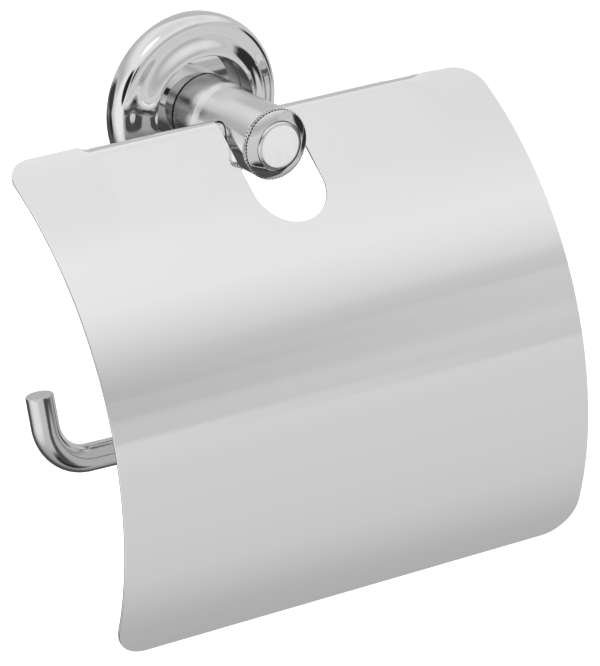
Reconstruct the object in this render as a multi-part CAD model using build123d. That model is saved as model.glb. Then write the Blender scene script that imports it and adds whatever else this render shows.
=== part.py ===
from build123d import *
import os
from math import asin, atan2, cos, degrees, hypot, radians, sin

# Wall-mounted toilet paper holder with a hinged sheet-metal cover.
# Millimetres. +Z is up, the wall is the plane y = 0 and the object stands out
# towards -Y. The origin is on the wall, on the post's axis.
# "Reach" is the distance out from the wall, so y = -reach.

# ---- driving dimensions ----
cover_width = 145.0
sheet = 0.8                      # thickness of the cover's sheet
cover_radius = 94.0              # outer face of the cover's main curve
tail_radius = 82.0               # outer face of its tighter lower end
cover_top_angle = 24.7           # where the plain top edge lies on the main curve
tail_angle = 24.5                # how far the lower end curls in
corner_radius = 10.0
notch_half_width = 10.8          # U-shaped notch that clears the post
notch_end_angle = 40.7           # centre of the notch's round end on the main curve

wire_radius = 3.7
wire_bend = 9.5                  # centre-line radius of the wire's two bends on the right
hook_bend = 12.0                 # centre-line radius of the bend up into the hook
hook_rise = 0.5                  # the bar climbs towards the hook ...
leg_drop = 2.0                   # ... from a right corner set this much lower
hinge_reach = 29.6
hinge_height = 0.3
bar_reach = 38.8
bar_height = -74.7
hook_x = -67.8
hook_length = 19.9               # from the bar's axis to the hook's tip
hook_splay = 5.2                 # the hook leans outwards
leg_x = 53.5

post_radius = 9.5
collar_radius = 10.05            # of the post at the joint with the base collar
post_end = 41.4                  # reach of the post's front end

# ---- fits ----
hinge_clearance = 0.05           # rolled tabs on the wire, a running fit
hole_clearance = 0.1             # wire and spigot in their holes
thread_clearance = 0.05          # set screws in their threads
tip_clearance = 0.02             # a tightened set screw's tip and the wire it holds

# ---- places that follow from them ----
hinge = (-hinge_reach, hinge_height)
curve_centre = (cover_radius - 80.7, -80.7)        # (y, z) of the main curve's centre
tail_centre = (curve_centre[0] - cover_radius + tail_radius, curve_centre[1])
half_width = cover_width / 2
roll_inner = wire_radius + hinge_clearance
roll_outer = roll_inner + sheet
top_leg = hypot(bar_reach - hinge_reach, hinge_height - bar_height)
wire_lean = degrees(atan2(bar_reach - hinge_reach, hinge_height - bar_height))

# The tabs leave the main curve on a straight tangent that runs onto the roll.
centre_gap = (hinge[0] - curve_centre[0], hinge[1] - curve_centre[1])
tangent_elevation = (degrees(atan2(centre_gap[1], -centre_gap[0]))
                     - degrees(asin(1) - asin((cover_radius - roll_outer) / hypot(*centre_gap))))
tab_start_angle = 90 - tangent_elevation


# ---- helpers ----
def point(centre, radius, elevation):
    """Point of a circle in the YZ plane; elevation turns from the front (-Y) up over the top."""
    a = radians(elevation)
    return (centre[0] - radius * cos(a), centre[1] + radius * sin(a))


def arc(centre, radius, first, last):
    """Arc of that circle between two elevations."""
    return ThreePointArc(point(centre, radius, first),
                         point(centre, radius, (first + last) / 2),
                         point(centre, radius, last))


def turned(outline):
    """Solid of revolution about the post's axis from an outline of (radius, reach) edges."""
    face = make_face(outline)
    return revolve(face, Axis.Y)


def at_reach(radius, reach):
    return (radius, -reach)


def ring(inner, outer, near, far, chamfer_size=0.0):
    """Plain turned ring between two reaches, optionally with chamfered outer corners."""
    c = chamfer_size
    corners = [(inner, near), (outer - c, near), (outer, near + c),
               (outer, far - c), (outer - c, far), (inner, far)]
    if not c:
        corners = [(inner, near), (outer, near), (outer, far), (inner, far)]
    return turned(Polyline(*[at_reach(*q) for q in corners], close=True))


def across(profile, low_x, high_x):
    """Extrude a YZ profile along X between two places."""
    face = Plane.YZ * make_face(profile)
    return extrude(face.moved(Location((low_x, 0, 0))), high_x - low_x, dir=(1, 0, 0))


def set_screw(radius, length, socket_flats, socket_depth):
    """Headless screw along +Z from the origin, its hex socket at the top and a cone at the tip."""
    body = Cylinder(radius, length, align=(Align.CENTER, Align.CENTER, Align.MIN))
    cone_tip = 0.35 * radius
    body = chamfer(body.edges().sort_by(Axis.Z)[0], cone_tip)
    hexagon = RegularPolygon(socket_flats / 2, 6, major_radius=False)
    socket = Pos(0, 0, length) * extrude(hexagon, -socket_depth)
    return body - socket


def solid_of(shape):
    """The single solid of a boolean result."""
    return shape.solids()[0]


# ---- wall side ----
plate_radius = 18.5
plate_thickness = 2.5
screw_hole_radius = 2.25
screw_spacing = 26.0
screw_head_radius = 4.1
spigot_radius = 7.5
spigot_end = 15.6
stub_radius = 5.0
clamp_groove = (10.2, 14.6)      # reach of the spigot's groove for the set screw
clamp_groove_radius = 7.0
floor_reach = 4.0                # outer face of the rosette's recessed floor
collar_end = 8.75


def make_wall_plate():
    plate = ring(stub_radius, plate_radius, 0, plate_thickness, 0.4)
    for x in (-screw_spacing / 2, screw_spacing / 2):
        hole = Pos(x, 0, 0) * Rot(90, 0, 0) * Cylinder(screw_hole_radius, 4 * plate_thickness)
        sink = turned_cone(x)
        plate = plate - hole - sink
    return solid_of(plate)


def turned_cone(x):
    """Countersink for one wall screw, wide at the plate's front face."""
    depth = screw_head_radius - screw_hole_radius
    cone = Cone(screw_hole_radius, screw_head_radius, depth, align=(Align.CENTER, Align.CENTER, Align.MIN))
    return Pos(x, -plate_thickness + depth, 0) * Rot(90, 0, 0) * cone


def make_spigot():
    body = ring(0, spigot_radius, plate_thickness, spigot_end, 0)
    body = body + ring(0, stub_radius, 0, plate_thickness)
    groove = ring(clamp_groove_radius, spigot_radius + 1, *clamp_groove)
    body = body - groove
    return solid_of(chamfer(body.edges().group_by(Axis.Y)[0], 0.5))


def make_rosette():
    recess = 14.85
    wall = 1.2
    lip_reach = 9.55
    swell = [(24.8, 0), (25.1, 2.4), (24.85, 4.6), (24.0, 6.2), (22.8, 6.95), (21.5, 7.15), (20.2, 7.3),
             (19.0, 7.7), (18.0, 8.3), (17.0, 8.95), (16.0, 9.4), (recess + 0.2, lip_reach)]
    bore = spigot_radius + hole_clearance
    underside = [(recess, lip_reach - 0.2), (recess, floor_reach), (bore, floor_reach),
                 (bore, plate_thickness), (recess + wall, plate_thickness),
                 (recess + wall, 7.4), (18.6, 5.4), (22.0, 5.4), (23.4, 3.6), (23.4, 0), (24.8, 0)]
    face = [
        Spline(*[at_reach(*q) for q in swell]),
        Polyline(at_reach(recess + 0.2, lip_reach), *[at_reach(*q) for q in underside]),
    ]
    return solid_of(turned(face))


def make_base_collar():
    edge = 0.2
    bore = spigot_radius + hole_clearance
    outline = Polyline(at_reach(bore, floor_reach), at_reach(collar_radius, floor_reach),
                       at_reach(collar_radius, collar_end - edge), at_reach(collar_radius - edge, collar_end),
                       at_reach(bore, collar_end), close=True)
    return solid_of(turned(outline))


# ---- post ----
post_back = collar_end + 0.4     # the thin joint line between collar and post
socket_end = spigot_end + 0.3
clamp_reach = sum(clamp_groove) / 2
cap_bore = 5.5
cap_bore_start = 38.4
clamp_screw_radius = 2.0
wire_screw_radius = 2.5


def make_post():
    edge = 0.2
    waist = post_radius - 0.25
    shoulder = 17.0
    shoulder_end = 20.4
    shoulder_radius = collar_radius - 0.3
    outline = [
        Polyline(at_reach(0, post_end), at_reach(0, post_back), at_reach(collar_radius - edge, post_back),
                 at_reach(collar_radius, post_back + edge), at_reach(shoulder_radius, shoulder)),
        Spline(at_reach(shoulder_radius, shoulder), at_reach(shoulder_radius - 0.1, shoulder + 0.6),
               at_reach(waist + 0.14, shoulder_end - 1.4), at_reach(waist, shoulder_end)),
        Polyline(at_reach(waist, shoulder_end), at_reach(post_radius, post_end - 2.0),
                 at_reach(post_radius, post_end), at_reach(0, post_end)),
    ]
    body = turned(outline)
    body -= ring(0, spigot_radius + hole_clearance, post_back - 1, socket_end)
    body -= ring(0, cap_bore, cap_bore_start, post_end + 1)
    body -= ring(0, wire_screw_radius, hinge_reach, cap_bore_start + 1)
    mouth = wire_radius + hole_clearance
    body -= Pos(0, -hinge_reach, hinge_height) * Rot(0, 90, 0) * Cylinder(mouth, 4 * post_radius)
    body -= Pos(0, -clamp_reach, 0) * Cylinder(clamp_screw_radius, 2 * post_radius,
                                               align=(Align.CENTER, Align.CENTER, Align.MAX))
    return solid_of(body)


def make_post_set_screw():
    length = 3.2
    screw = set_screw(clamp_screw_radius - thread_clearance, length, 2.0, 1.6)
    return Pos(0, -clamp_reach, -clamp_groove_radius) * Rot(180, 0, 0) * screw


def make_wire_set_screw():
    length = 5.0
    screw = set_screw(wire_screw_radius - thread_clearance, length, 2.5, 2.2)
    return Pos(0, -(hinge_reach + wire_radius + tip_clearance), 0) * Rot(90, 0, 0) * screw


# ---- front end ----
knurl_end = post_end + 1.1
bezel_radius = 9.25
bezel_reach = 43.8
disc_radius = 6.6
disc_seat = 42.9
disc_reach = 44.5


def make_knurled_ring():
    teeth = 62
    crest = 9.65
    root = 9.3
    corners = []
    for i in range(teeth):
        for part, radius in ((0.0, crest), (0.5, root)):
            a = radians(360 * (i + part) / teeth)
            corners.append((radius * cos(a), radius * sin(a)))
    toothed = make_face(Polyline(*corners, close=True)) - Circle(cap_bore)
    blank = extrude(toothed, knurl_end - post_end)
    return solid_of(Pos(0, -post_end, 0) * Rot(90, 0, 0) * blank)


def make_end_cap():
    edge = 0.3
    seat_wall = disc_radius + hole_clearance
    spigot = cap_bore - thread_clearance
    back = cap_bore_start + 0.1
    crown = (bezel_radius - 1.25, knurl_end + 0.9)     # a point half way up the coned face
    outline = [
        Polyline(at_reach(0, disc_seat), at_reach(0, back), at_reach(spigot, back),
                 at_reach(spigot, knurl_end), at_reach(bezel_radius - edge, knurl_end),
                 at_reach(bezel_radius, knurl_end + edge)),
        ThreePointArc(at_reach(bezel_radius, knurl_end + edge), at_reach(*crown),
                      at_reach(seat_wall, bezel_reach)),
        Polyline(at_reach(seat_wall, bezel_reach), at_reach(seat_wall, disc_seat), at_reach(0, disc_seat)),
    ]
    return solid_of(turned(outline))


def make_cap_disc():
    edge = 1.15
    diagonal = edge * cos(radians(45))
    outline = [
        Polyline(at_reach(0, disc_reach), at_reach(0, disc_seat), at_reach(disc_radius, disc_seat),
                 at_reach(disc_radius, disc_reach - edge)),
        ThreePointArc(at_reach(disc_radius, disc_reach - edge),
                      at_reach(disc_radius - edge + diagonal, disc_reach - edge + diagonal),
                      at_reach(disc_radius - edge, disc_reach)),
        Line(at_reach(disc_radius - edge, disc_reach), at_reach(0, disc_reach)),
    ]
    return solid_of(turned(outline))


# ---- wire and cover ----
left_tab = (-47.0, -notch_half_width)
right_tab = (notch_half_width, 44.0)
raised_left = -50.0              # the sheet beside a tab's end is raised with it, without the roll
raised_right = 52.5
roll_end = 325.0                 # elevation where the rolled edge stops, below the wire
raised_end = 98.0


def make_paper_bar():
    """One bent round wire: top leg, right leg, paper bar and hook, in a plane that leans forward."""
    plane = Plane(origin=(0, -bar_reach, bar_height), x_dir=(1, 0, 0),
                  z_dir=(0, -cos(radians(wire_lean)), sin(radians(wire_lean))))
    splay = radians(hook_splay)
    tip = (hook_x - hook_length * sin(splay), hook_length * cos(splay))
    route = FilletPolyline((left_tab[0] + 0.2, top_leg), (leg_x, top_leg), (leg_x, -leg_drop),
                           (hook_x, hook_rise), tip, radius=(wire_bend, wire_bend, hook_bend))
    path = plane * route
    start = Plane(origin=path @ 0, z_dir=path % 0)
    rod = sweep(start * Circle(wire_radius), path=path)
    return solid_of(rod)


def sheet_band(first, last):
    """Profile of the sheet on the main curve between two angles from the top."""
    inner = cover_radius - sheet
    return [
        arc(curve_centre, cover_radius, 90 - first, 90 - last),
        Line(point(curve_centre, cover_radius, 90 - last), point(curve_centre, inner, 90 - last)),
        arc(curve_centre, inner, 90 - last, 90 - first),
        Line(point(curve_centre, inner, 90 - first), point(curve_centre, cover_radius, 90 - first)),
    ]


def tail_band():
    """Profile of the lower end, which curls in on a tighter curve."""
    inner = tail_radius - sheet
    return [
        arc(tail_centre, tail_radius, 0, -tail_angle),
        Line(point(tail_centre, tail_radius, -tail_angle), point(tail_centre, inner, -tail_angle)),
        arc(tail_centre, inner, -tail_angle, 0),
        Line(point(tail_centre, inner, 0), point(tail_centre, tail_radius, 0)),
    ]


def tab_band(last):
    """Profile of a tab: a straight run onto the roll, then round the wire to an elevation."""
    e = tangent_elevation
    inner = cover_radius - sheet
    return [
        Line(point(curve_centre, cover_radius, e), point(hinge, roll_outer, e)),
        arc(hinge, roll_outer, e, last),
        Line(point(hinge, roll_outer, last), point(hinge, roll_inner, last)),
        arc(hinge, roll_inner, last, e),
        Line(point(hinge, roll_inner, e), point(curve_centre, inner, e)),
        Line(point(curve_centre, inner, e), point(curve_centre, cover_radius, e)),
    ]


def corner_cutter(x_sign, at, outward):
    """What a rounded corner removes; at is the square corner's (y, z), outward the sheet's normal."""
    plane = Plane(origin=(x_sign * half_width, *at[0]), x_dir=(-x_sign, 0, 0), z_dir=(0, *outward))
    along = 1 if (plane.y_dir.Y * at[1][0] + plane.y_dir.Z * at[1][1]) > 0 else -1
    square = (Pos(corner_radius / 2 - 1, along * (corner_radius / 2 - 1))
              * Rectangle(corner_radius + 2, corner_radius + 2))
    disc = Pos(corner_radius, along * corner_radius) * Circle(corner_radius)
    r = corner_radius
    keep = (Pos(1.5 * r, along * r / 2) * Rectangle(r, 3 * r)
            + Pos(r / 2, along * 1.5 * r) * Rectangle(3 * r, r))
    face = square - disc - keep
    return extrude(plane * face, 6, both=True)


def make_cover():
    body = across(sheet_band(tab_start_angle, 90), -half_width, half_width)
    body += across(tail_band(), -half_width, half_width)
    body += across(sheet_band(cover_top_angle, tab_start_angle), -half_width, raised_left)
    body += across(sheet_band(cover_top_angle, tab_start_angle), raised_right, half_width)
    body += across(tab_band(roll_end), *left_tab)
    body += across(tab_band(roll_end), *right_tab)
    body += across(tab_band(raised_end), raised_left, left_tab[0])
    body += across(tab_band(raised_end), right_tab[1], raised_right)

    e = 90 - notch_end_angle
    middle = point(curve_centre, cover_radius, e)
    plane = Plane(origin=(0, *middle), x_dir=(1, 0, 0), z_dir=(0, -cos(radians(e)), sin(radians(e))))
    notch = Circle(notch_half_width) + Pos(0, 20) * Rectangle(2 * notch_half_width, 40)
    body -= extrude(plane * notch, 12, both=True)

    top = point(curve_centre, cover_radius, 90 - cover_top_angle)
    top_out = (-sin(radians(cover_top_angle + 3)), cos(radians(cover_top_angle + 3)))
    top_down = (-top_out[1], top_out[0])
    bottom = point(tail_centre, tail_radius, -tail_angle)
    bottom_out = (-cos(radians(tail_angle - 3)), -sin(radians(tail_angle - 3)))
    bottom_up = (bottom_out[1], -bottom_out[0])
    for x_sign in (-1, 1):
        body -= corner_cutter(x_sign, (top, top_down), top_out)
        body -= corner_cutter(x_sign, (bottom, bottom_up), bottom_out)
    return solid_of(body)


makers = {
    "wall_plate": make_wall_plate,
    "spigot": make_spigot,
    "rosette": make_rosette,
    "base_collar": make_base_collar,
    "post": make_post,
    "post_set_screw": make_post_set_screw,
    "wire_set_screw": make_wire_set_screw,
    "knurled_ring": make_knurled_ring,
    "end_cap": make_end_cap,
    "cap_disc": make_cap_disc,
    "paper_bar": make_paper_bar,
    "cover": make_cover,
}

os.makedirs("parts", exist_ok=True)
for name, make in makers.items():
    export_step(make(), f"parts/{name}.step")
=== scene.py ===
import math
import bpy
import bmesh
from mathutils import Matrix, Vector


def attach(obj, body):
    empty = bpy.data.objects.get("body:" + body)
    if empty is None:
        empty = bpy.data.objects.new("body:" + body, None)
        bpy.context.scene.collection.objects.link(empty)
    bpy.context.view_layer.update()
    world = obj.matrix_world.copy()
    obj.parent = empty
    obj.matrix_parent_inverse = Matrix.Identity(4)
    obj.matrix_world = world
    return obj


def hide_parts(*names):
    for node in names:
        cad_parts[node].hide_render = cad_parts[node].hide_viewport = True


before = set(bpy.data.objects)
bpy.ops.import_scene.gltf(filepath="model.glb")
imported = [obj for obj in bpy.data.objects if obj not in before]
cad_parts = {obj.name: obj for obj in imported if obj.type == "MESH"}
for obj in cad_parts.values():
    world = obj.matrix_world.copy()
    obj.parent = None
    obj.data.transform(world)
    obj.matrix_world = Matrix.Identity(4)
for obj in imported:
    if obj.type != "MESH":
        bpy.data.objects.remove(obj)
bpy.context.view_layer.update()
MM = 0.001

# ---- sizes, in millimetres, of the pieces that are drawn finer than the CAD ----
COVER_HALF = 72.38
SHEET = 0.8
CURVE_R = 94.0
CURVE_C = (13.3, -80.7)              # (y, z) centre of the cover's main curve
TAIL_R = 82.0
TAIL_C = (CURVE_C[0] - CURVE_R + TAIL_R, CURVE_C[1])
TAIL_ANGLE = 24.5
TOP_ANGLE = 24.7
CORNER_R = 10.0
TOP_CORNER_R = 8.0
NOTCH_HALF = 10.8
NOTCH_ANGLE = 40.7
HINGE = (-29.6, 0.3)
WIRE_R = 3.7
WIRE_BEND = 9.5
HOOK_BEND = 12.0
HOOK_RISE = 0.5
LEG_DROP = 2.0
ROLL_R = 4.55
ROLL_END = 325.0
RAISED_END = 97.5
LEFT_TAB = (-47.0, -10.8)
RIGHT_TAB = (10.8, 44.0)
LEFT_FADE = (-50.0, -47.0)
RIGHT_FADE = (46.0, 60.0)
RIGHT_TRIM = 1.7                     # the top edge falls away by this much towards the right end
BAR = (-38.8, -74.7)
HOOK_X = -67.8
HOOK_LENGTH = 19.9
HOOK_SPLAY = math.radians(5.2)
LEG_X = 53.5


# ---- mesh helpers ----
def add_object(name, mesh):
    ob = bpy.data.objects.new(name, mesh)
    bpy.context.scene.collection.objects.link(ob)
    return ob


def mesh_from(name, verts, faces, normals=None):
    """Object from millimetre vertices, smooth shaded, with exact normals when they are known."""
    me = bpy.data.meshes.new(name)
    me.from_pydata([Vector(v) * MM for v in verts], [], faces)
    me.validate()
    for p in me.polygons:
        p.use_smooth = True
    if normals:
        me.normals_split_custom_set_from_vertices([Vector(n).normalized() for n in normals])
    return add_object(name, me)


def arc_points(cx, cy, r, a0, a1, n):
    """Points of a circle from angle a0 to a1 in degrees, both ends included."""
    out = []
    for i in range(n + 1):
        a = math.radians(a0 + (a1 - a0) * i / n)
        out.append((cx + r * math.cos(a), cy + r * math.sin(a)))
    return out


def lathe(name, runs, segments=192):
    """Turned piece about the post's axis. Each run is a smooth stretch of (radius, reach) points;
    neighbouring runs meet in a crisp edge."""
    verts, faces, normals = [], [], []
    for run in runs:
        base = len(verts)
        n = len(run)
        for i, (r, t) in enumerate(run):
            a = run[max(i - 1, 0)]
            b = run[min(i + 1, n - 1)]
            dr, dt = b[0] - a[0], b[1] - a[1]
            nr, nt = dt, -dr
            for k in range(segments):
                f = 2 * math.pi * k / segments
                verts.append((r * math.cos(f), -t, r * math.sin(f)))
                normals.append((nr * math.cos(f), -nt, nr * math.sin(f)))
        for i in range(n - 1):
            for k in range(segments):
                k2 = (k + 1) % segments
                p, q = base + i * segments, base + (i + 1) * segments
                if run[i][0] < 1e-6:
                    faces.append((p, q + k2, q + k))
                elif run[i + 1][0] < 1e-6:
                    faces.append((p + k, p + k2, q))
                else:
                    faces.append((p + k, p + k2, q + k2, q + k))
    return mesh_from(name, verts, faces, normals)


# ---- cover ----
def main_point(angle):
    """Outer face of the main curve at an angle from its top, with its outward normal."""
    a = math.radians(angle)
    n = (-math.sin(a), math.cos(a))
    return (CURVE_C[0] + CURVE_R * n[0], CURVE_C[1] + CURVE_R * n[1]), n


gap_y, gap_z = HINGE[0] - CURVE_C[0], HINGE[1] - CURVE_C[1]
TANGENT = math.degrees(math.atan2(gap_z, -gap_y)) - math.degrees(
    math.acos((CURVE_R - ROLL_R) / math.hypot(gap_y, gap_z)))
TAB_START = 90 - TANGENT
te = math.radians(TANGENT)
TANGENT_N = (-math.cos(te), math.sin(te))
TANGENT_LOW = (CURVE_C[0] + CURVE_R * TANGENT_N[0], CURVE_C[1] + CURVE_R * TANGENT_N[1])
TANGENT_HIGH = (HINGE[0] + ROLL_R * TANGENT_N[0], HINGE[1] + ROLL_R * TANGENT_N[1])
STRAIGHT = math.dist(TANGENT_LOW, TANGENT_HIGH)
PLAIN_LENGTH = CURVE_R * math.radians(TAB_START - TOP_ANGLE)
RAISED_LENGTH = STRAIGHT + ROLL_R * math.radians(RAISED_END - TANGENT)
ROLL_LENGTH = STRAIGHT + ROLL_R * math.radians(ROLL_END - TANGENT)


def upper(u, raised):
    """Outer face above the place where the tabs leave the curve; u is the length up from there."""
    plain, plain_n = main_point(TAB_START - math.degrees(u / CURVE_R))
    if raised <= 0:
        return plain, plain_n
    if u < STRAIGHT:
        f = u / STRAIGHT
        high = tuple(a + (b - a) * f for a, b in zip(TANGENT_LOW, TANGENT_HIGH))
        high_n = TANGENT_N
    else:
        e = te + (u - STRAIGHT) / ROLL_R
        high_n = (-math.cos(e), math.sin(e))
        high = (HINGE[0] + ROLL_R * high_n[0], HINGE[1] + ROLL_R * high_n[1])
    if raised >= 1:
        return high, high_n
    p = tuple(a + (b - a) * raised for a, b in zip(plain, high))
    n = tuple(a + (b - a) * raised for a, b in zip(plain_n, high_n))
    size = math.hypot(*n)
    return p, (n[0] / size, n[1] / size)


def lower(v):
    """Outer face at a length v down from the same place."""
    end = CURVE_R * math.radians(90 - TAB_START)
    if v <= end:
        return main_point(TAB_START + math.degrees(v / CURVE_R))
    a = (v - end) / TAIL_R
    n = (-math.cos(a), -math.sin(a))
    return (TAIL_C[0] + TAIL_R * n[0], TAIL_C[1] + TAIL_R * n[1]), n


LENGTH_DOWN = CURVE_R * math.radians(90 - TAB_START) + TAIL_R * math.radians(TAIL_ANGLE) - 0.15
NOTCH_V = CURVE_R * math.radians(NOTCH_ANGLE - TAB_START)


def ease(x):
    x = min(max(x, 0.0), 1.0)
    return x * x * (3 - 2 * x)


def raised_at(x):
    """How far the top strip stands up at x, from 1 at the tabs to 0 at the plain ends."""
    return min(ease((x - LEFT_FADE[0]) / (LEFT_FADE[1] - LEFT_FADE[0])),
               ease((RIGHT_FADE[1] - x) / (RIGHT_FADE[1] - RIGHT_FADE[0])))


def top_length(x):
    """Length of the strip above the tabs' start at x, with the rounded top corners."""
    w = raised_at(x)
    full = PLAIN_LENGTH + (RAISED_LENGTH - PLAIN_LENGTH) * w
    full -= RIGHT_TRIM * ease((x - RIGHT_FADE[0]) / (COVER_HALF - TOP_CORNER_R - RIGHT_FADE[0]))
    inside = abs(x) - (COVER_HALF - TOP_CORNER_R)
    if inside > 0:
        full -= TOP_CORNER_R - math.sqrt(max(TOP_CORNER_R ** 2 - inside ** 2, 0))
    return full


def bottom_length(x):
    inside = abs(x) - (COVER_HALF - CORNER_R)
    drop = 0.0
    if inside > 0:
        drop = CORNER_R - math.sqrt(max(CORNER_R ** 2 - inside ** 2, 0))
    return LENGTH_DOWN - drop


class Skin:
    """A sheet of constant thickness from a grid of outer points with normals."""

    def __init__(self):
        self.points, self.normals, self.quads, self.keys = [], [], [], {}

    def vertex(self, x, p, n):
        key = (round(x, 4), round(p[0], 4), round(p[1], 4))
        if key not in self.keys:
            self.keys[key] = len(self.points)
            self.points.append((x, p[0], p[1]))
            self.normals.append((0.0, n[0], n[1]))
        return self.keys[key]

    def patch(self, xs, rows):
        """rows(x) gives the (point, normal) list down the sheet at x; all have one length."""
        grid = [[self.vertex(x, p, n) for p, n in rows(x)] for x in xs]
        for a, b in zip(grid, grid[1:]):
            for i in range(len(a) - 1):
                quad = [a[i], a[i + 1], b[i + 1], b[i]]
                clean = [q for j, q in enumerate(quad) if q != quad[j - 1]]
                if len(set(clean)) >= 3:
                    self.quads.append(tuple(clean))

    def solidify(self, name, thickness, edge):
        """Outer skin, inner skin and a slightly rounded rim."""
        count = len(self.points)
        edges = {}
        for q in self.quads:
            for i in range(len(q)):
                e = (q[i], q[(i + 1) % len(q)])
                edges[e] = edges.get(e, 0) + 1
        rim = [e for e in edges if (e[1], e[0]) not in edges]
        verts, normals, faces = [], [], []
        for p, n in zip(self.points, self.normals):
            verts.append(p)
            normals.append(n)
        for p, n in zip(self.points, self.normals):
            verts.append(tuple(a - b * thickness for a, b in zip(p, n)))
            normals.append(tuple(-c for c in n))
        for q in self.quads:
            faces.append(q)
            faces.append(tuple(count + i for i in reversed(q)))
        side = {}
        for a, b in rim:
            va, vb = Vector(self.points[a]), Vector(self.points[b])
            along = (vb - va).normalized()
            for i in (a, b):
                out = along.cross(Vector(self.normals[i]))
                side[i] = side.get(i, Vector()) + out
        made = {}
        for i, out in side.items():
            out = out.normalized()
            n = Vector(self.normals[i])
            p = Vector(self.points[i])
            ring = []
            steps = 4
            for k in range(steps + 1):
                a = math.pi * k / steps
                m = n * math.cos(a) + out * math.sin(a)
                mid = p - n * thickness / 2
                where = mid + n * math.cos(a) * thickness / 2 + out * math.sin(a) * edge
                ring.append(len(verts))
                verts.append(tuple(where))
                normals.append(tuple(m.normalized()))
            made[i] = ring
        for a, b in rim:
            for k in range(4):
                faces.append((made[b][k], made[a][k], made[a][k + 1], made[b][k + 1]))
        return mesh_from(name, verts, faces, normals)


def steps_between(a, b, n):
    return [a + (b - a) * i / n for i in range(n + 1)]


def make_cover():
    skin = Skin()
    fine = 1
    upper_rows, mid_rows, low_rows = 60 // fine, 40 // fine, 160 // fine

    def corner_xs(sign):
        r = COVER_HALF - max(CORNER_R, TOP_CORNER_R)
        xs = [r + max(CORNER_R, TOP_CORNER_R) * math.sin(math.radians(a)) for a in steps_between(0, 90, 24)]
        return [sign * x for x in (xs if sign > 0 else reversed(xs))]

    def head(x):
        top = top_length(x)
        return [upper(u, raised_at(x)) for u in steps_between(top, 0, upper_rows)]

    def middle(x):
        return [lower(v) for v in steps_between(0, NOTCH_V, mid_rows)]

    def tail(x):
        return [lower(v) for v in steps_between(NOTCH_V, bottom_length(x), low_rows)]

    def under_notch(x):
        start = NOTCH_V + math.sqrt(max(NOTCH_HALF ** 2 - x * x, 0))
        return [lower(v) for v in steps_between(start, LENGTH_DOWN, low_rows)]

    def rolled(x):
        return [upper(u, 1.0) for u in steps_between(ROLL_LENGTH, RAISED_LENGTH, 72 // fine)]

    left = corner_xs(-1)
    left += [x for x in steps_between(-61.5, LEFT_FADE[0], 8)]
    left += steps_between(LEFT_FADE[0], LEFT_FADE[1], 16)[1:]
    left_tab = steps_between(LEFT_TAB[0], LEFT_TAB[1], 30)
    right_tab = steps_between(RIGHT_TAB[0], RIGHT_TAB[1], 30)
    right = steps_between(RIGHT_TAB[1], RIGHT_FADE[0], 4)[1:]
    right += steps_between(RIGHT_FADE[0], RIGHT_FADE[1], 24)[1:]
    right += steps_between(RIGHT_FADE[1], 61.5, 6)[1:]
    right += corner_xs(1)
    columns_left = left + left_tab[1:]
    columns_right = right_tab + right
    for columns in (columns_left, columns_right):
        skin.patch(columns, head)
        skin.patch(columns, middle)
        skin.patch(columns, tail)
    notch_xs = [NOTCH_HALF * math.sin(math.radians(a)) for a in steps_between(-90, 90, 48)]
    skin.patch(notch_xs, under_notch)
    skin.patch(left_tab, rolled)
    skin.patch(right_tab, rolled)
    return skin.solidify("cover_sheet", SHEET, 0.12)


# ---- wire ----
def wire_path():
    """Centre line of the bent wire as (point, direction) pairs."""
    up = Vector((0, HINGE[0] - BAR[0], HINGE[1] - BAR[1]))
    top = up.length
    up.normalize()
    base = Vector((0, BAR[0], BAR[1]))
    corners = [(LEFT_TAB[0] + 0.3, top), (LEG_X, top), (LEG_X, -LEG_DROP), (HOOK_X, HOOK_RISE),
               (HOOK_X - HOOK_LENGTH * math.sin(HOOK_SPLAY), HOOK_LENGTH * math.cos(HOOK_SPLAY))]
    flat = [Vector(c).to_3d() for c in corners]
    line = [(flat[0], (flat[1] - flat[0]).normalized())]
    for i in range(1, len(flat) - 1):
        a = (flat[i] - flat[i - 1]).normalized()
        b = (flat[i + 1] - flat[i]).normalized()
        turn = a.angle(b)
        radius = HOOK_BEND if i == 3 else WIRE_BEND
        reach = radius * math.tan(turn / 2)
        start = flat[i] - a * reach
        inward = (b - a * a.dot(b)).normalized()
        previous = line[-1][0]
        for f in steps_between(0, 1, 24)[1:-1]:
            line.append((previous + (start - previous) * f, a))
        for k in range(33):
            t = turn * k / 32
            p = start + a * radius * math.sin(t) + inward * radius * (1 - math.cos(t))
            line.append((p, (a * math.cos(t) + inward * math.sin(t)).normalized()))
    last = line[-1][0]
    for f in steps_between(0, 1, 12)[1:]:
        line.append((last + (flat[-1] - last) * f, line[-1][1]))
    out = []
    for p, d in line:
        out.append((base + Vector((p.x, 0, 0)) + up * p.y, Vector((d.x, 0, 0)) + up * d.y))
    return out, Vector((1, 0, 0)).cross(up)


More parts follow.
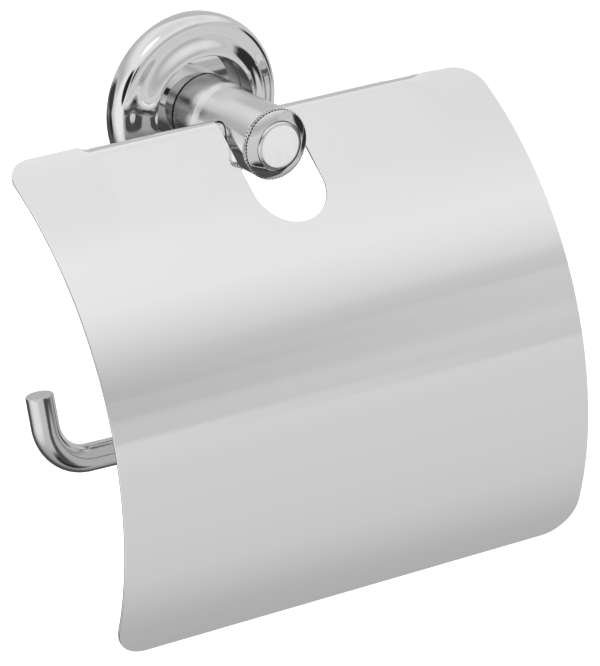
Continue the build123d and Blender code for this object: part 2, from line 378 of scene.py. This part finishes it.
def make_wire():
    line, side = wire_path()
    edge = 0.35
    around = 64
    rings = []
    first, last = line[0], line[-1]
    for k in range(5):
        a = math.pi / 2 * k / 4
        r = WIRE_R - edge + edge * math.sin(a)
        rings.append((first[0] + first[1] * edge * (1 - math.cos(a)), first[1], r, -math.cos(a)))
    for p, d in line[1:-1]:
        rings.append((p, d, WIRE_R, 0.0))
    for k in range(5):
        a = math.pi / 2 * k / 4
        r = WIRE_R - edge + edge * math.cos(a)
        rings.append((last[0] - last[1] * edge * (1 - math.sin(a)), last[1], r, math.sin(a)))
    verts, normals, faces = [], [], []
    for p, d, r, tilt in rings:
        other = d.cross(side)
        for k in range(around):
            f = 2 * math.pi * k / around
            radial = side * math.cos(f) + other * math.sin(f)
            verts.append(tuple(p + radial * r))
            normals.append(tuple(radial * math.sqrt(max(1 - tilt * tilt, 0)) + d * tilt))
    for i in range(len(rings) - 1):
        for k in range(around):
            k2 = (k + 1) % around
            faces.append((i * around + k, i * around + k2, (i + 1) * around + k2, (i + 1) * around + k))
    for ring, flip in ((0, True), (len(rings) - 1, False)):
        p, d, r, tilt = rings[ring]
        base = len(verts)
        for k in range(around):
            verts.append(verts[ring * around + k])
            normals.append(tuple(d * (-1 if flip else 1)))
        loop = list(range(base, base + around))
        faces.append(tuple(reversed(loop)) if flip else tuple(loop))
    return mesh_from("paper_bar_wire", verts, faces, normals)


# ---- turned pieces ----
def smooth_run(points, per):
    """Catmull-Rom curve through a few profile points."""
    p = [points[0]] + list(points) + [points[-1]]
    out = []
    for i in range(1, len(p) - 2):
        for k in range(per):
            f = k / per
            out.append(tuple(
                0.5 * (2 * p[i][j] + (p[i + 1][j] - p[i - 1][j]) * f
                       + (2 * p[i - 1][j] - 5 * p[i][j] + 4 * p[i + 1][j] - p[i + 2][j]) * f * f
                       + (3 * p[i][j] - p[i - 1][j] - 3 * p[i + 1][j] + p[i + 2][j]) * f ** 3)
                for j in (0, 1)))
    return out + [points[-1]]


def fair(run, times):
    """Evens out a run's curvature, ends kept."""
    for _ in range(times):
        inner = [tuple((a[j] + 2 * b[j] + c[j]) / 4 for j in (0, 1))
                 for a, b, c in zip(run, run[1:], run[2:])]
        run = [run[0]] + inner + [run[-1]]
    return run


def make_rosette():
    recess, lip_t = 14.85, 9.55
    swell = [(24.78, 0.02), (25.09, 2.4), (24.85, 4.6), (24.0, 6.2), (22.8, 6.95), (21.5, 7.15), (20.2, 7.3),
             (19.0, 7.7), (18.0, 8.3), (17.0, 8.95), (16.0, 9.4), (recess + 0.2, lip_t)]
    face = fair(smooth_run(swell, 12), 40)
    edge = arc_points(recess + 0.2, lip_t - 0.2, 0.2, 90, 180, 6)
    wall = steps_points((recess, lip_t - 0.2), (recess, 4.35), 8)
    floor_run = arc_points(recess - 0.35, 4.35, 0.35, 0, -90, 6) + [(10.6, 4.0), (7.65, 4.0)]
    under = [(7.65, 4.0), (7.65, 2.55), (16.0, 2.55), (16.0, 7.4), (18.6, 5.4), (22.0, 5.4), (23.4, 3.6),
             (23.4, 0.0), (24.78, 0.02)]
    runs = [face, edge, wall, floor_run] + [[a, b] for a, b in zip(under, under[1:])]
    return lathe("rosette_turned", runs)


def steps_points(a, b, n):
    return [(a[0] + (b[0] - a[0]) * i / n, a[1] + (b[1] - a[1]) * i / n) for i in range(n + 1)]


COLLAR_R = 10.05


def make_collar():
    r, end = COLLAR_R, 8.7
    edge = 0.25
    top = steps_points((r, 4.02), (r, end - edge), 6)
    rounding = arc_points(r - edge, end - edge, edge, 0, 90, 6)
    face = [(r - edge, end), (7.65, end)]
    return lathe("base_collar_turned", [top + rounding[1:], face])


def make_post():
    r, waist = COLLAR_R, 9.25
    edge = 0.25
    back = 9.17
    shoulder, shoulder_end, shoulder_r = 17.0, 20.4, COLLAR_R - 0.3
    back_face = [(7.65, back), (r - edge, back)]
    neck = [(r, back + edge), (r - 0.15, 13.0), (shoulder_r, shoulder), (shoulder_r - 0.1, shoulder + 0.6),
            (waist + 0.14, shoulder_end - 1.4), (waist, shoulder_end), (waist, 24.0), (waist + 0.06, 30.0),
            (waist + 0.16, 36.0), (waist + 0.2, 41.2)]
    body = arc_points(r - edge, back + edge, edge, -90, 0, 6) + fair(smooth_run(neck, 14), 6)[1:]
    front = arc_points(waist, 41.2, 0.2, 0, 90, 5)
    face = [(9.25, 41.4), (5.5, 41.4)]
    bore = [[(7.65, 15.9), (7.65, back)], [(0.0, 15.9), (7.65, 15.9)],
            [(5.5, 41.4), (5.5, 38.4)], [(5.5, 38.4), (0.0, 38.4)]]
    return lathe("post_turned", [back_face, body + front[1:], face] + bore)


def make_knurl():
    teeth = 62
    crest, root = 9.64, 9.1
    t0, t1 = 41.45, 42.4
    per = 6
    profile = [0.0, 0.12, 0.85, 1.0, 0.85, 0.12]
    verts, faces = [], []
    count = teeth * per
    slices = [(t0, -0.15), (t0 + 0.12, 0.0), (t1 - 0.12, 0.0), (t1, -0.15)]
    for t, shrink in slices:
        for i in range(count):
            f = 2 * math.pi * i / count
            r = root + (crest - root) * profile[i % per] + shrink * profile[i % per]
            verts.append((r * math.cos(f), -t, r * math.sin(f)))
    for s in range(len(slices) - 1):
        for i in range(count):
            j = (i + 1) % count
            faces.append((s * count + i, (s + 1) * count + i, (s + 1) * count + j, s * count + j))
    for s, flip in ((0, False), (len(slices) - 1, True)):
        base = len(verts)
        for i in range(count):
            f = 2 * math.pi * i / count
            verts.append((5.6 * math.cos(f), -slices[s][0], 5.6 * math.sin(f)))
        for i in range(count):
            j = (i + 1) % count
            quad = (s * count + i, s * count + j, base + j, base + i)
            faces.append(quad if flip else tuple(reversed(quad)))
    ob = mesh_from("knurled_ring_cut", verts, faces)
    for p in ob.data.polygons:
        p.use_smooth = False
    return ob


def make_bezel():
    back, r, edge = 42.62, 9.2, 0.12
    back_run = [(5.6, back), (r - edge, back)]
    steep, flat, turn = 32.0, 18.0, 24
    rim = arc_points(r - edge, back + edge, edge, -90, 90 - steep, 6)
    crown = [rim[-1]]
    width = rim[-1][0] - 6.72
    total = sum(1 / turn for _ in range(turn))
    for i in range(turn):
        slope = math.radians(steep + (flat - steep) * (i + 0.5) / turn)
        step = width / turn / total
        crown.append((crown[-1][0] - step, crown[-1][1] + step * math.tan(slope)))
    top = crown[-1][1]
    inner = [(6.72, top), (6.70, 42.95)]
    floor = [(6.70, 42.95), (0.0, 42.95)]
    return lathe("end_cap_turned", [back_run, rim + crown[1:], inner, floor])


def make_disc():
    r, seat, reach, edge = 6.58, 42.92, 44.5, 1.15
    side = [(r, seat), (r, reach - edge)]
    rim = arc_points(r - edge, reach - edge, edge, 0, 90, 16)
    face = [(r - edge, reach), (3.0, reach), (0.0, reach)]
    return lathe("cap_disc_turned", [side + rim[1:], face])


cover = make_cover()
wire = make_wire()
rosette = make_rosette()
collar = make_collar()
post = make_post()
knurl = make_knurl()
bezel = make_bezel()
disc = make_disc()


def cross_bore(ob, radius):
    """Cuts the wire's hole through the post."""
    weld = bmesh.new()
    weld.from_mesh(ob.data)
    bmesh.ops.remove_doubles(weld, verts=weld.verts, dist=1e-7)
    weld.to_mesh(ob.data)
    weld.free()
    bpy.ops.mesh.primitive_cylinder_add(vertices=96, radius=radius * MM, depth=0.03,
                                        location=(0, HINGE[0] * MM, HINGE[1] * MM),
                                        rotation=(0, math.pi / 2, 0))
    cutter = bpy.context.object
    cut = ob.modifiers.new("bore", "BOOLEAN")
    cut.operation = "DIFFERENCE"
    cut.solver = "EXACT"
    cut.object = cutter
    bpy.context.view_layer.update()
    deps = bpy.context.evaluated_depsgraph_get()
    cut_mesh = bpy.data.meshes.new_from_object(ob.evaluated_get(deps))
    ob.modifiers.clear()
    ob.data = cut_mesh
    bpy.data.objects.remove(cutter)
    cut_mesh.shade_smooth()
    cut_mesh.set_sharp_from_angle(angle=math.radians(32))


for piece, body, node in ((cover, "lid", "cover"), (wire, "bracket", "paper_bar"),
                          (rosette, "bracket", "rosette"), (collar, "bracket", "base_collar"),
                          (post, "bracket", "post"),
                          (knurl, "bracket", "knurled_ring"), (bezel, "bracket", "end_cap"),
                          (disc, "bracket", "cap_disc")):
    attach(piece, body)
    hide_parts(node)


# ---- materials ----
def finish_material(name, color, rough, rough_spread, bump, scratch_scale=900.0, brushed=None, smudge=0.0):
    """Metal with uneven polish: fine scratches, soft smudges and a very faint waviness."""
    mat = bpy.data.materials.new(name)
    mat.use_nodes = True
    nt = mat.node_tree
    nodes, links = nt.nodes, nt.links
    shader = nodes["Principled BSDF"]
    shader.inputs["Metallic"].default_value = 1.0
    shader.inputs["Base Color"].default_value = (*color, 1.0)
    coords = nodes.new("ShaderNodeTexCoord")
    stretch = nodes.new("ShaderNodeMapping")
    stretch.inputs["Scale"].default_value = brushed or (1.0, 1.0, 1.0)
    links.new(coords.outputs["Object"], stretch.inputs["Vector"])
    fine = nodes.new("ShaderNodeTexNoise")
    fine.inputs["Scale"].default_value = scratch_scale
    fine.inputs["Detail"].default_value = 6.0
    fine.inputs["Roughness"].default_value = 0.6
    links.new(stretch.outputs["Vector"], fine.inputs["Vector"])
    cloud = nodes.new("ShaderNodeTexNoise")
    cloud.inputs["Scale"].default_value = 45.0
    cloud.inputs["Detail"].default_value = 3.0
    links.new(coords.outputs["Object"], cloud.inputs["Vector"])
    mixed = nodes.new("ShaderNodeMath")
    mixed.operation = "MULTIPLY_ADD"
    links.new(cloud.outputs["Fac"], mixed.inputs[0])
    mixed.inputs[1].default_value = smudge
    links.new(fine.outputs["Fac"], mixed.inputs[2])
    spread = nodes.new("ShaderNodeMapRange")
    spread.inputs["From Min"].default_value = 0.25
    spread.inputs["From Max"].default_value = 0.75 + smudge
    spread.inputs["To Min"].default_value = max(rough - rough_spread, 0.0)
    spread.inputs["To Max"].default_value = rough + rough_spread
    links.new(mixed.outputs["Value"], spread.inputs["Value"])
    links.new(spread.outputs["Result"], shader.inputs["Roughness"])
    relief = nodes.new("ShaderNodeBump")
    relief.inputs["Strength"].default_value = bump
    relief.inputs["Distance"].default_value = 0.00002
    links.new(fine.outputs["Fac"], relief.inputs["Height"])
    links.new(relief.outputs["Normal"], shader.inputs["Normal"])
    return mat


mirror = finish_material("cover_mirror", (0.87, 0.87, 0.87), 0.07, 0.03, 0.02, 700.0, (0.15, 1.0, 1.0), 0.5)
polished = finish_material("chrome_polished", (0.81, 0.81, 0.81), 0.06, 0.03, 0.03, 900.0, None, 0.4)
satin = finish_material("chrome_satin", (0.79, 0.79, 0.79), 0.2, 0.06, 0.08, 500.0, (1.0, 0.1, 1.0), 0.3)
wire_chrome = finish_material("chrome_wire", (0.72, 0.72, 0.72), 0.16, 0.05, 0.05, 700.0, None, 0.3)
zinc = finish_material("zinc_plate", (0.55, 0.57, 0.60), 0.38, 0.1, 0.2, 300.0, None, 0.6)
white_satin = finish_material("cap_face_satin", (0.72, 0.72, 0.72), 0.45, 0.08, 0.05, 600.0, None, 0.3)
white_satin.node_tree.nodes["Principled BSDF"].inputs["Metallic"].default_value = 0.15
# Near-black: the set screws' own black steel, and also painted shade in the collar-post joint and the
# knurl's roots.
black = finish_material("black_steel", (0.08, 0.08, 0.085), 0.4, 0.1, 0.2, 600.0, None, 0.3)

looks = {cover: (mirror, "mirror_steel"), wire: (wire_chrome, "satin_chrome"),
         rosette: (polished, "polished_chrome"), collar: (polished, "polished_chrome"),
         post: (satin, "satin_chrome"), knurl: (polished, "satin_chrome"),
         bezel: (polished, "polished_chrome"), disc: (satin, "satin_chrome")}
for ob, (mat, slot_name) in looks.items():
    ob.data.materials.clear()
    ob.data.materials.append(mat)
for node, mat in (("wall_plate", zinc), ("spigot", zinc),
                  ("post_set_screw", black), ("wire_set_screw", black)):
    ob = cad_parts[node]
    for s in ob.material_slots:
        s.material = mat

BORE_GAP = 0.35              # dark gap round the wire where it enters the post
cross_bore(post, WIRE_R + BORE_GAP)


def paint(ob, mat, test):
    """Gives a second material, a real finish or painted shade, to the faces whose (radius, reach) in
    millimetres passes the test.
    """
    index = len(ob.data.materials)
    ob.data.materials.append(mat)
    for p in ob.data.polygons:
        c = p.center / MM
        if test(math.hypot(c.x, c.z), -c.y):
            p.material_index = index


DISC_FACE = 44.49            # reach beyond which the disc is its flat face
GROOVE_SHADE_REACH = (8.5, 9.3)          # reach of the painted shade in the joint between collar and post
KNURL_ROOT_SHADE_R = 9.04
paint(disc, white_satin, lambda r, t: t > DISC_FACE)
# Painted shade: near-black on the collar's front face and the post's back face, where shade falls in the
# joint between them.
paint(collar, black, lambda r, t: t > GROOVE_SHADE_REACH[0])
paint(post, black, lambda r, t: t < GROOVE_SHADE_REACH[1])
# Painted shade: near-black on the knurl's root faces, where shade falls between the teeth.
paint(knurl, black, lambda r, t: r < KNURL_ROOT_SHADE_R)

# ---- floor, lights, camera ----
FLOOR_Z = -0.42


def stage_plane(name, size, location):
    bpy.ops.mesh.primitive_plane_add(size=size, location=location)
    ob = bpy.context.object
    ob.name = name
    return ob


floor = stage_plane("floor", 12.0, (0, 0, FLOOR_Z))
floor_mat = bpy.data.materials.new("floor_pale")
floor_mat.use_nodes = True
fs = floor_mat.node_tree.nodes["Principled BSDF"]
fs.inputs["Base Color"].default_value = (0.9, 0.9, 0.9, 1.0)
fs.inputs["Roughness"].default_value = 0.9
floor.data.materials.append(floor_mat)

floor.visible_glossy = False

# The room that the metal mirrors: brightness against the sine of the height above the horizon.
ROOM_LEFT = [(-1.0, 0.45), (-0.85, 0.47), (-0.774, 0.51), (-0.70, 0.58), (-0.604, 0.65),
             (-0.362, 0.686), (-0.076, 0.70), (0.055, 0.745), (0.085, 0.755), (0.095, 0.61),
             (0.16, 0.625), (0.20, 0.60), (0.205, 0.535), (0.29, 0.555), (0.295, 0.50), (0.35, 0.535),
             (0.45, 0.65), (0.55, 0.78), (0.65, 0.90), (0.80, 0.93), (0.86, 0.86), (1.0, 0.80)]
ROOM_RIGHT = [(-1.0, 0.45), (-0.85, 0.47), (-0.774, 0.51), (-0.70, 0.59), (-0.604, 0.65),
              (-0.362, 0.686), (-0.076, 0.70), (0.03, 0.725), (0.04, 0.62), (0.12, 0.66), (0.16, 0.685),
              (0.24, 0.645), (0.36, 0.675), (0.37, 0.60), (0.43, 0.65), (0.47, 0.76), (0.56, 0.86),
              (0.66, 0.90), (0.76, 0.85), (0.84, 0.80), (0.9, 0.76), (1.0, 0.76)]

# Lighter and darker areas of that room: direction, radius of the full patch and radius where it has
# faded out (degrees), brightness
ROOM_PATCHES = [
    ((-1.0, -0.1, 0.0), 28, 48, 1.0),
    ((0.18, 0.72, -0.67), 36, 58, 0.09),
    ((-0.5, 0.85, -0.05), 9, 14, 0.05),
    ((-0.5, 0.8, -0.35), 7, 10, 0.03),
    ((-0.85, -0.3, 0.3), 16, 20, 0.02),
    ((0.95, -0.25, 0.0), 12, 18, 0.03),
    ((-0.52, -0.773, 0.362), 6, 9, 0.02),
    ((0.03, -0.55, -0.83), 17, 24, 0.03),
    ((0.52, 0.84, -0.15), 14, 20, 0.66),
    ((0.52, 0.77, 0.36), 20, 26, 0.58),
    ((-0.38, -0.13, 0.9), 9, 16, 1.3),
]


def build_world():
    made = bpy.data.worlds.new("studio")
    made.use_nodes = True
    nt = made.node_tree
    nodes, links = nt.nodes, nt.links
    coords = nodes.new("ShaderNodeTexCoord")
    split = nodes.new("ShaderNodeSeparateXYZ")
    links.new(coords.outputs["Generated"], split.inputs["Vector"])

    def remap(source, low, high):
        node = nodes.new("ShaderNodeMapRange")
        node.inputs["From Min"].default_value = low
        node.inputs["From Max"].default_value = high
        links.new(source, node.inputs["Value"])
        return node.outputs["Result"]

    def ramp(source, stops):
        node = nodes.new("ShaderNodeValToRGB")
        node.color_ramp.interpolation = "LINEAR"
        while len(node.color_ramp.elements) > 1:
            node.color_ramp.elements.remove(node.color_ramp.elements[0])
        for i, (z, v) in enumerate(stops):
            where = (z + 1) / 2
            stop = node.color_ramp.elements[0] if i == 0 else node.color_ramp.elements.new(where)
            stop.position = where
            stop.color = (v, v, v, 1.0)
        links.new(source, node.inputs["Fac"])
        return node.outputs["Color"]

    height = remap(split.outputs["Z"], -1.0, 1.0)
    side = remap(split.outputs["X"], 0.487, 0.562)
    blend = nodes.new("ShaderNodeMix")
    blend.data_type = "RGBA"
    links.new(side, blend.inputs["Factor"])
    links.new(ramp(height, ROOM_LEFT), blend.inputs["A"])
    links.new(ramp(height, ROOM_RIGHT), blend.inputs["B"])
    color = blend.outputs["Result"]
    for direction, inner, outer, value in ROOM_PATCHES:
        dot = nodes.new("ShaderNodeVectorMath")
        dot.operation = "DOT_PRODUCT"
        dot.inputs[1].default_value = Vector(direction).normalized()
        links.new(coords.outputs["Generated"], dot.inputs[0])
        mask = remap(dot.outputs["Value"], math.cos(math.radians(outer)), math.cos(math.radians(inner)))
        mix = nodes.new("ShaderNodeMix")
        mix.data_type = "RGBA"
        links.new(mask, mix.inputs["Factor"])
        links.new(color, mix.inputs["A"])
        mix.inputs["B"].default_value = (value, value, value, 1.0)
        color = mix.outputs["Result"]
    links.new(color, nodes["Background"].inputs["Color"])
    nodes["Background"].inputs["Strength"].default_value = 1.0
    return made


bpy.context.scene.world = build_world()
bpy.context.scene.view_settings.view_transform = "Standard"


def area_light(name, where, aim, size, power):
    data = bpy.data.lights.new(name, "AREA")
    data.shape = "SQUARE"
    data.size = size
    data.energy = power
    lamp = bpy.data.objects.new(name, data)
    bpy.context.scene.collection.objects.link(lamp)
    lamp.location = where
    lamp.rotation_mode = "QUATERNION"
    lamp.rotation_quaternion = (Vector(aim) - Vector(where)).to_track_quat("-Z", "Y")
    lamp.visible_glossy = False
    return lamp


area_light("front", (-1.2, -2.0, 0.9), (0, 0, 0), 1.2, 22.0)
area_light("overhead", (0.6, 0.9, 2.0), (0.6, 0.9, FLOOR_Z), 3.0, 60.0)

# The camera stands left of and above the holder.
CAM_AT = Vector((-0.7107, -1.1090, 0.4460))
CAM_RIGHT = Vector((0.827, -0.5621, -0.0125))
CAM_UP = Vector((0.2133, 0.2931, 0.932))
LENS = 285.1
data = bpy.data.cameras.new("camera")
data.lens = LENS
data.sensor_width = 36.0
data.clip_start, data.clip_end = 0.05, 50.0
camera = bpy.data.objects.new("camera", data)
bpy.context.scene.collection.objects.link(camera)
right = CAM_RIGHT.normalized()
up = (CAM_UP - right * CAM_UP.dot(right)).normalized()
back = right.cross(up)
camera.matrix_world = Matrix.Translation(CAM_AT) @ Matrix((right, up, back)).transposed().to_4x4()
bpy.context.scene.camera = camera
